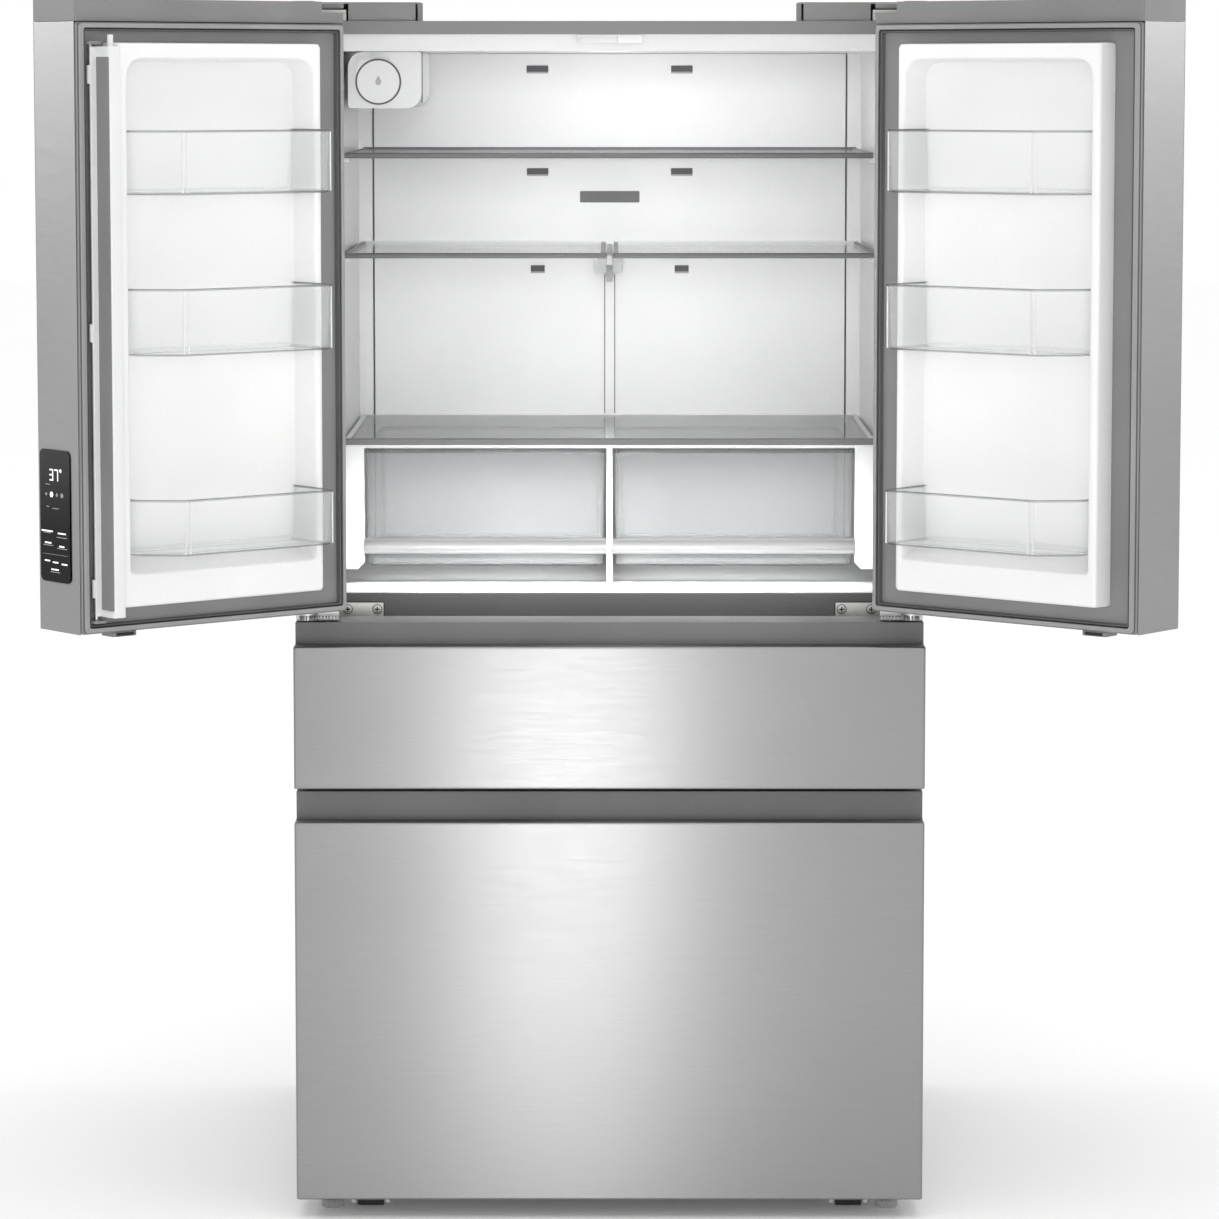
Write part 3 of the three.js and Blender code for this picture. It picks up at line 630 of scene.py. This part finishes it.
def crisper(side):
    """A crisper: a drafted clear tray with a rim, and a satin bar along its front."""
    node = f"crisper_bin_{side}"
    low, high = span(node)
    body = f"crisper_{side}"
    corners = rectangle((low.x, low.y), (high.x, high.y))
    rows = ((9, low.z), (3.5, low.z + 4), (1.2, high.z - 8), (0, high.z - 6), (0, high.z - 1), (1, high.z),
            (4, high.z), (4.8, high.z - 3), (7, low.z + 9), (12, low.z + 4))
    shape = bmesh.new()
    paint = [1, 0, 0, 1, 1, 1, 1, 0, 0]
    loft(shape, [lift(rounded(inset(corners, by), 12), z, "z") for by, z in rows], paint=paint)
    piece(shape, f"crisper_tray_{side}", body, ["smoked", "clear_edge"], stands_for=(node,),
          sharp=55)
    grip = f"crisper_handle_{side}"
    low, high = span(grip)
    middle, half = (low.z + high.z) / 2, (high.z - low.z) / 2
    section = []
    for k in range(9):
        angle = math.pi * k / 8
        section.append((low.y + (high.y - low.y) * (1 - math.sin(angle)), middle - half * math.cos(angle)))
    shape = bmesh.new()
    loft(shape, [lift(section, x, "x") for x in (low.x, high.x)])
    piece(shape, f"crisper_bar_{side}", body, ["satin"], stands_for=(grip,), sharp=60)


LADDER_FOOT = 1124
LADDER_TOP = 1680
LADDER_RIBS = 26
LADDER_PITCH = 21
# Each row of air vents: its height and half the width of a vent. They lie this far either side.
VENT_ROWS = ((1663, 17), (1502, 17), (1349, 11))
VENT_ACROSS = 113.6
TRACK_EDGES = (-8.6, 7.2)
TRACK_FOOT = 1120
TRACK_TOP = 1340


def liner_details():
    """Shelf ladders beside the duct panel and a bright lip along the floor of the compartment."""
    low, high = span("fresh_food_liner")
    duct_low, duct_high = span("rear_duct_panel")
    shape = bmesh.new()
    for sign in (-1, 1):
        near, far = sorted((sign * (high.x - 6), sign * (duct_high.x + 3)))
        for rib in range(LADDER_RIBS):
            level = LADDER_FOOT + 6 + rib * LADDER_PITCH
            slab(shape, "y", (near, duct_low.y + 4, level), (far, duct_low.y + 16, level + 11), 1.5, 1)
        slab(shape, "y", (near, duct_low.y + 14, LADDER_FOOT), (far, duct_low.y + 30, LADDER_TOP), 1.5, 1)
    piece(shape, "shelf_ladders", "cabinet", ["white"])
    shape = bmesh.new()
    slab(shape, "z", (low.x + 6, low.y + 0.4, low.z + 2.4), (high.x - 6, low.y + 9, low.z + 5.4), 2, 1.2)
    piece(shape, "liner_front_lip", "cabinet", ["white"])


def duct_details():
    """The air vents, each with a pale grey lip and a dark opening of painted shade, dark lines of
    painted shade along the shelf track's edges and beside the duct panel, a plain badge and a white block
    behind the shelf bracket."""
    low, high = span("rear_duct_panel")
    shape = bmesh.new()
    for level, half in VENT_ROWS:
        for middle in (-VENT_ACROSS, VENT_ACROSS):
            left, right = middle - half, middle + half
            # Each vent gets a pale grey lip of painted shade below it and a dark plate of painted shade in
            # its opening.
            slab(shape, "y", (left, low.y + 0.5, level - 7.4), (right, low.y + 2.6, level - 4.6), 1, 0.5)
            slab(shape, "y", (left, low.y + 0.7, level - 4.8), (right, low.y + 2.2, level + 5), 1, 0.4, 1)
    piece(shape, "vent_lips_painted_shade", "cabinet", ["pale_grey", "painted_shade_and_dark_joint"])
    shape = bmesh.new()
    # Dark lines of painted shade along the shelf track's edges and in the gaps beside the duct panel.
    for edge in TRACK_EDGES:
        slab(shape, "y", (edge, low.y + 0.4, TRACK_FOOT), (edge + 1.4, low.y + 3.4, TRACK_TOP), 0.4, 0.2)
    for sign in (-1, 1):
        edge = sign * (high.x + 1.1)
        slab(shape, "y", (edge - 0.9, low.y + 6, low.z + 4), (edge + 0.9, low.y + 12, high.z - 3), 0.4, 0.2)
    piece(shape, "duct_shadow_lines", "cabinet", ["painted_shade_and_dark_joint"])
    shape = bmesh.new()
    slab(shape, "y", (-47, low.y + 1.6, 1453), (47, low.y + 3.6, 1471), 2, 0.6)
    piece(shape, "rear_badge", "cabinet", ["trim"])
    _, high = span("shelf_bracket")
    shape = bmesh.new()
    slab(shape, "y", (-25, high.y - 14, 1343), (20, high.y + 0.4, 1367), 3, 1.2)
    piece(shape, "bracket_block", "cabinet", ["white_trim"])


def filter_details():
    """The filter cover's outline, a strip of painted shadow on the housing's side and a raised drop."""
    low, high = span("filter_housing")
    shape = bmesh.new()
    # A dark strip of painted shadow along the housing's side.
    slab(shape, "x", (high.x - 0.5, low.y + 9, low.z + 8), (high.x + 0.5, low.y + 22, high.z - 2), 3, 0.2)
    piece(shape, "filter_side_shadow", "cabinet", ["slot"])
    low, high = span("filter_cartridge")
    centre = Vector(((low.x + high.x) / 2, low.y, (low.z + high.z) / 2))
    shape = bmesh.new()
    drop = []
    for k in range(20):
        angle = 2 * math.pi * k / 20
        point = 1 + 0.9 * max(0.0, math.sin(angle)) ** 5
        across = 4.4 * math.cos(angle) / point**0.6
        drop.append(Vector((centre.x + across, centre.z + 4.8 * math.sin(angle) * point)))
    loft(shape, [lift(drop, level, "y") for level in (low.y - 0.6, low.y + 0.6)])
    piece(shape, "filter_drop", "filter", ["pale_grey"], sharp=60)
    shape = bmesh.new()
    reach = (high.x - low.x) / 2
    rings = (
        (reach + 0.8, low.y + 1.2), (reach + 0.8, low.y - 0.5), (reach - 1.8, low.y - 0.5),
        (reach - 1.8, low.y + 1.2),
    )
    loops = [[(centre.x + radius * math.cos(math.pi * k / 24), centre.z + radius * math.sin(math.pi * k / 24))
              for k in range(48)] for radius, _ in rings]
    loft(shape, [lift(loop, level, "y") for loop, (_, level) in zip(loops, rings)], ring=True)
    piece(shape, "filter_outline", "filter", ["painted_shade_and_dark_joint"], sharp=60)


# ---------------------------------------------------------------- drawers and base


DRAWER_GASKET_FACE = -163.0


def drawer_front(name):
    """A drawer's stainless front: a slab with eased edges whose sides turn back along the drawer."""
    node = f"{name}_skin"
    low, high = span(node)
    corners = rectangle((low.x, low.z), (high.x, high.z))
    rows = (
        (3.6, low.y), (1.5, low.y + 0.5), (0.4, low.y + 1.6), (0, low.y + 3.8), (0, high.y), (1.2, high.y),
        (1.3, low.y + 4.4), (4, low.y + 2),
    )
    shape = bmesh.new()
    loft(shape, [lift(rounded(inset(corners, by), 3), level, "y") for by, level in rows])
    piece(shape, f"{name}_front", name, ["stainless"], stands_for=(node,), sharp=50)


def drawer_gasket(name):
    """The magnetic gasket behind a drawer's front."""
    low, high = span(f"{name}_body")
    outline = rectangle((low.x + 40, low.z + 8), (high.x - 40, high.z - 8))
    shape = bmesh.new()
    rows = ((0, -0.6), (0.5, 3), (2, 4), (1, 8), (2.5, 10.6), (11, 10.6), (12.5, 8), (12, 3), (13, -0.6))
    loops = [lift(rounded(inset(outline, by), 6), DRAWER_GASKET_FACE + up, "y") for by, up in rows]
    loft(shape, loops, ring=True)
    piece(shape, f"{name}_gasket", name, ["gasket"], sharp=55)


def levelling_foot(side):
    """A ribbed levelling foot with a screw stem."""
    node = f"levelling_foot_{side}"
    low, high = span(node)
    centre = ((low.x + high.x) / 2, (low.y + high.y) / 2, 0)
    shape = bmesh.new()
    pad = ((14, low.z), (16.2, low.z + 1.2), (16.2, low.z + 10), (14.5, low.z + 12))
    turned(shape, pad, centre, sides=56, flute=1.1)
    stem = ((9, low.z + 11.5), (8.5, low.z + 14), (4.2, low.z + 14.5), (4.2, high.z - 0.6), (3.6, high.z))
    turned(shape, stem, centre, sides=20)
    piece(shape, f"ribbed_foot_{side}", node, ["pale_grey"], stands_for=(node,), sharp=30)


def screw(shape, centre, facing=-1, radius=6.2, head=1.9):
    """A pan-head screw with a cross recess and a ring round it, both dark with painted shade, its head
    towards y * facing.
    """
    x, y, z = centre
    # A dark ring of painted shade round the head.
    turned(shape, [(radius + 1.1, y), (radius + 1.1, y + facing * head * 0.2)], (x, 0, z), "y", 18, paint=1)
    profile = [(radius, y), (radius, y + facing * head * 0.5), (radius * 0.7, y + facing * head)]
    turned(shape, profile, (x, 0, z), "y", 18)
    # Dark bars of painted shade in the cross recess.
    for wide, tall in ((radius * 0.62, 1.0), (1.0, radius * 0.62)):
        ends = sorted((y + facing * head * 0.4, y + facing * (head + 0.03)))
        slab(shape, "y", (x - wide, ends[0], z - tall), (x + wide, ends[1], z + tall), 0.2, 0.1, 1)


# The lower hinges' plates: their front face, how far their dark edge of painted shadow reaches
# sideways and up, and where their screws are.
PLATE_FACE = -154.8
PLATE_REACH = (328.6, 398)
PLATE_HEIGHT = (864.6, 887)
PLATE_SCREWS = ((339, 876), (382, 876))
REAR_SCREW_SPACING = 210


def screws():
    """Phillips screws on the lower hinge plates, which get a dark edge of painted shadow, and round the rear
    panel.
    """
    shape = bmesh.new()
    for sign in (-1, 1):
        near, far = sorted(sign * reach for reach in PLATE_REACH)
        # A dark plate of painted shadow just behind each hinge plate's face, showing as its dark edge.
        slab(shape, "y", (near, PLATE_FACE + 1.6, PLATE_HEIGHT[0]), (far, PLATE_FACE + 3.4, PLATE_HEIGHT[1]),
             1, 0.3, 1)
        for x, z in PLATE_SCREWS:
            screw(shape, (sign * x, PLATE_FACE, z))
    piece(shape, "hinge_screws", "cabinet", ["zinc", "slot"], sharp=30)
    low, high = span("back_panel")
    shape = bmesh.new()
    inner = rectangle((low.x + 12, low.z + 12), (high.x - 12, high.z - 12))
    for start, end in zip(inner, inner[1:] + inner[:1]):
        count = round((end - start).length / REAR_SCREW_SPACING)
        for k in range(count):
            point = start.lerp(end, k / count)
            screw(shape, (point.x, high.y - 0.38, point.y), 1, 5, 0.4)
    piece(shape, "rear_panel_screws", "cabinet", ["zinc", "slot"], sharp=30)


COMB_START = 388
COMB_LENGTH = 60
COMB_TEETH = 13


def hinge_combs():
    """The ribbed strips in front of the lower hinges, between the door and the drawer below it."""
    low, _ = span("lower_hinge_right")
    shape = bmesh.new()
    pitch = COMB_LENGTH / COMB_TEETH
    for sign in (-1, 1):
        for tooth in range(COMB_TEETH):
            start = COMB_START + tooth * pitch
            near, far = sorted((sign * start, sign * (start + pitch * 0.55)))
            slab(shape, "y", (near, low.y - 2.2, 871.5), (far, low.y + 6, 877.5), 0.4, 0.3)
    piece(shape, "hinge_combs", "cabinet", ["grey"])


KNUCKLE_REACH = (378.5, 414)


def hinge_knuckle(side):
    """A grey block that fills the hinge cover's open corner, on top of the upper hinge's plate."""
    low, high = span(f"upper_hinge_{side}")
    sign = -1 if side == "left" else 1
    near, far = sorted(sign * reach for reach in KNUCKLE_REACH)
    shape = bmesh.new()
    slab(shape, "z", (near, low.y + 2, high.z + 0.2), (far, low.y + 26, high.z + 8), 9, 1.5)
    piece(shape, f"hinge_knuckle_{side}", "cabinet", ["grey"])


def refrigerant_tubes():
    """The copper tubes between the compressor and the condenser."""
    low, high = span("compressor")
    _, coil_high = span("condenser")
    middle = (low.y + high.y) / 2
    shape = bmesh.new()
    for number, level in enumerate((96.0, 150.0)):
        start = Vector((low.x + 22, middle + 38 + 10 * number, level))
        path = []
        for k in range(25):
            part = k / 24
            sway = 12 * math.sin(math.pi * part)
            x = start.x - part * (start.x - coil_high.x + 6)
            path.append(Vector((x, start.y + sway, level + 10 * math.sin(2 * math.pi * part))))
        tube(shape, path, 3.2)
    piece(shape, "refrigerant_tubes", "cabinet", ["copper"], sharp=60)


for door_side in SIDES:
    door_rim(door_side)
    door_panel(door_side)
    door_gasket(door_side)
    door_foot(door_side)
    crisper(door_side)
    levelling_foot(door_side)
    hinge_knuckle(door_side)
    for bin_name in BIN_NAMES:
        door_bin(door_side, bin_name)
display()
mullion_trim()
shelf("upper_shelf", "upper_shelf", ["trim", "trim"])
for shelf_side in SIDES:
    shelf(f"half_shelf_{shelf_side}", f"half_shelf_{shelf_side}", ["trim", "white_trim"])
crisper_cover()
liner_details()
duct_details()
filter_details()
for drawer in ("deli_drawer", "freezer_drawer"):
    drawer_front(drawer)
    drawer_gasket(drawer)
screws()
hinge_combs()
refrigerant_tubes()

# The CAD nodes that stay: node, finish and how far its edges are eased, in millimetres. A node
# eased by 0 is shaded flat.
KEPT = {
    "cabinet_shell": ("frame_paint", 0.8), "back_panel": ("galvanised", 0.3),
    "insulation_foam": ("foam", 0.5), "fresh_food_liner": ("white", 2.5), "lower_liner": ("white", 2.5),
    "centre_rail": ("rail_paint_with_painted_shade", 1.2), "rear_duct_panel": ("white", 1.0),
    "shelf_bracket": ("satin", 0.5), "crisper_frame": ("white_trim", 1.2),
    "mullion_guide": ("white_trim", 1.0), "filter_housing": ("white_trim", 1.6),
    "filter_cartridge": ("white_trim", 0), "compressor": ("enamel", 1.5), "condenser": ("enamel", 0.2),
    "condenser_fan": ("dark", 0.4), "rear_roller_axle": ("dark", 0),
    "deli_drawer_body": ("drawer_grey", 0.6), "deli_bin": ("white_trim", 0),
    "freezer_drawer_body": ("drawer_grey", 0.6), "freezer_bin": ("white_trim", 0),
    "freezer_basket": ("white_trim", 1.2), "control_panel": ("display", 0.4),
    "mullion_bar": ("white_trim", 0.8), "mullion_pivot_rod": ("zinc", 0.3),
}
for kept_node, (kept_finish, kept_ease) in KEPT.items():
    keep(kept_node, kept_finish, kept_ease)
SIDED = {
    "hinge_cover_{}": ("grey", 2.0), "upper_hinge_{}": ("zinc", 0.5), "lower_hinge_{}": ("zinc", 0.5),
    "leg_bracket_{}": ("zinc", 0.5), "front_roller_{}": ("dark", 0.6), "{}_door_skin": ("stainless", 0.4),
    "{}_door_top_cap": ("grey", 1.2),
}
for pattern, (kept_finish, kept_ease) in SIDED.items():
    for kept_side in SIDES:
        keep(pattern.format(kept_side), kept_finish, kept_ease)

# ---------------------------------------------------------------- studio


def studio_material():
    """A plain pale floor with a trace of tone, which glows a little towards the horizon."""
    finish = Finish("studio_floor", Roughness=0.8, Emission_Color=grey(255))
    reach = finish.tree.nodes.new("ShaderNodeVectorMath")
    reach.operation = "LENGTH"
    finish.tree.links.new(finish.place, reach.inputs[0])
    finish.link(finish.between(reach.outputs["Value"], 0.06, 0.4, 1.0, 5.0), "Emission Strength")
    slow = finish.noise((1.5, 1.5, 1.5), 2.0)
    finish.link(finish.tones(slow, grey(250), grey(254)), "Base Color")
    return finish.material


def lamp(name, at, aim, size, power, height=None, spread=180, mirrored=True):
    """A soft area light at a place, aimed at a point. Its beam spreads over this many degrees, and
    metal mirrors it unless told not to."""
    data = bpy.data.lights.new(name, "AREA")
    data.shape = "RECTANGLE"
    data.size = size
    data.size_y = height or size
    data.energy = power
    data.spread = math.radians(spread)
    obj = bpy.data.objects.new(name, data)
    obj.location = at
    obj.rotation_euler = (Vector(aim) - Vector(at)).to_track_quat("-Z", "Y").to_euler()
    obj.visible_camera = False
    obj.visible_glossy = mirrored
    bpy.context.scene.collection.objects.link(obj)


scene = bpy.context.scene
floor_mesh = bpy.data.meshes.new("studio_floor")
FLOOR_HALF = 30.0
floor_corners = [(x * FLOOR_HALF, y * FLOOR_HALF, 0) for x, y in ((-1, -1), (1, -1), (1, 1), (-1, 1))]
floor_mesh.from_pydata(floor_corners, [], [(0, 1, 2, 3)])
floor_mesh.materials.append(studio_material())
floor = bpy.data.objects.new("studio_floor", floor_mesh)
scene.collection.objects.link(floor)

world = bpy.data.worlds.new("studio")
world.use_nodes = True
sky = world.node_tree
sky.nodes["Background"].inputs["Strength"].default_value = 0.6
sky.nodes["Background"].inputs["Color"].default_value = (1.0, 1.0, 1.0, 1.0)
backdrop = sky.nodes.new("ShaderNodeBackground")
backdrop.inputs["Color"].default_value = (1.0, 1.0, 1.0, 1.0)
seen = sky.nodes.new("ShaderNodeLightPath")
pick = sky.nodes.new("ShaderNodeMixShader")
sky.links.new(seen.outputs["Is Camera Ray"], pick.inputs[0])
sky.links.new(sky.nodes["Background"].outputs[0], pick.inputs[1])
sky.links.new(backdrop.outputs[0], pick.inputs[2])
sky.links.new(pick.outputs[0], sky.nodes["World Output"].inputs[0])
scene.world = world
scene.view_settings.view_transform = "Standard"
lamp("overhead", (0, -0.5, 6.0), (0, -0.5, 0), 6.0, 150)
lamp("front_fill", (0.0, -6.5, 3.2), (0, 0, 0.9), 3.5, 40)
lamp("drawer_strip", (-0.09, -2.6, 0.06), (-0.04, -0.27, 0.5), 0.36, 13, 1.3)
for across in (-1, 1):
    lamp("edge_panel", (across * 3.0, 0.5, 2.5), (across * 0.75, -0.5, 1.5), 1.0, 20)
liner_low, liner_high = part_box("fresh_food_liner")
opening = (liner_low + liner_high) / 2
lamp("compartment_glow", (0, -3.6, 1.75), (0, liner_high.y, opening.z), 0.7, 1.0, 0.7, 24, False)
lamp("ceiling_glow", (0.08, liner_low.y + 0.16, liner_high.z - 0.04), (0, liner_high.y - 0.1, opening.z),
     0.5, 0.9, 0.1, 170, False)
lamp("floor_glow", (0, liner_low.y - 0.12, liner_low.z + 0.3), (0, liner_low.y + 0.06, liner_low.z),
     0.7, 1.9, 0.06, 70, False)
lamp("compartment_core", (0, liner_low.y + 0.12, opening.z + 0.1), (0, liner_high.y, opening.z + 0.1),
     0.05, 1.15, 0.7, 170, False)

CAMERA_AT = (0.0035, -6.6, 1.6434)
CAMERA_PITCH = 5.38
CAMERA_TURN = 0.031
CAMERA_LENS = 131.26
CAMERA_SHIFT = -0.09
camera_data = bpy.data.cameras.new("camera")
camera_data.lens = CAMERA_LENS
camera_data.sensor_width = 36.0
camera_data.shift_y = CAMERA_SHIFT
camera_data.clip_end = 100.0
camera = bpy.data.objects.new("camera", camera_data)
camera.location = CAMERA_AT
camera.rotation_euler = (math.radians(90 - CAMERA_PITCH), 0, math.radians(CAMERA_TURN))
scene.collection.objects.link(camera)
scene.camera = camera
